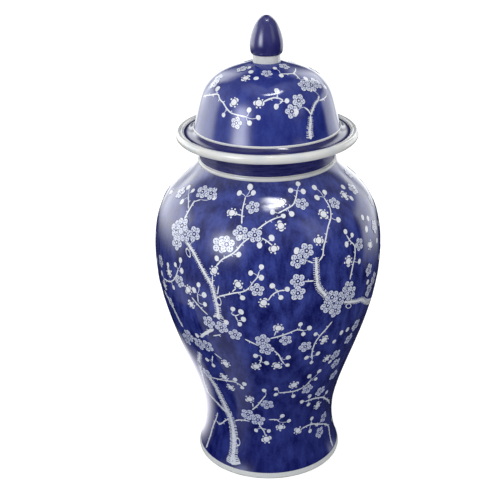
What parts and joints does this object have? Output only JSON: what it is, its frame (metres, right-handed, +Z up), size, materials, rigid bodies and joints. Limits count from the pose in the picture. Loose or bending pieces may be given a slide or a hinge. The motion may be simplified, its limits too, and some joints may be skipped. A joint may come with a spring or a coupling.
{
  "type": "ginger jar",
  "caption": "Tall lidded ginger jar of glazed porcelain: baluster body on a foot ring, domed lid with rolled brim and bud finial, white plum blossom on a cobalt ground.",
  "frame": {"origin": "centre of the foot ring on the surface that the jar stands on", "axes": "+Z up along the jar's axis; X and Y level, with +Y away from the side that is seen first"},
  "size_m": [0.2236, 0.2236, 0.457],
  "materials": {
    "cobalt_glaze": "high gloss clear glaze over cobalt, with white decoration",
    "white_glaze": "high gloss clear glaze over white porcelain",
    "bare_porcelain": "unglazed, fine matt"
  },
  "bodies": {
    "jar": {"foot_ring": "bare_porcelain", "lower_body": "cobalt_glaze", "upper_body": "cobalt_glaze", "neck_ring": "cobalt_glaze"},
    "lid": {"lid_brim": "white_glaze", "lid_collar": "white_glaze", "lid_dome": "cobalt_glaze", "finial": "cobalt_glaze"}
  },
  "joints": [
    {"name": "lid_lift", "type": "slide", "parent": "jar", "child": "lid", "axis": [0, 0, 1], "range_m": [0, 0.15]}
  ]
}
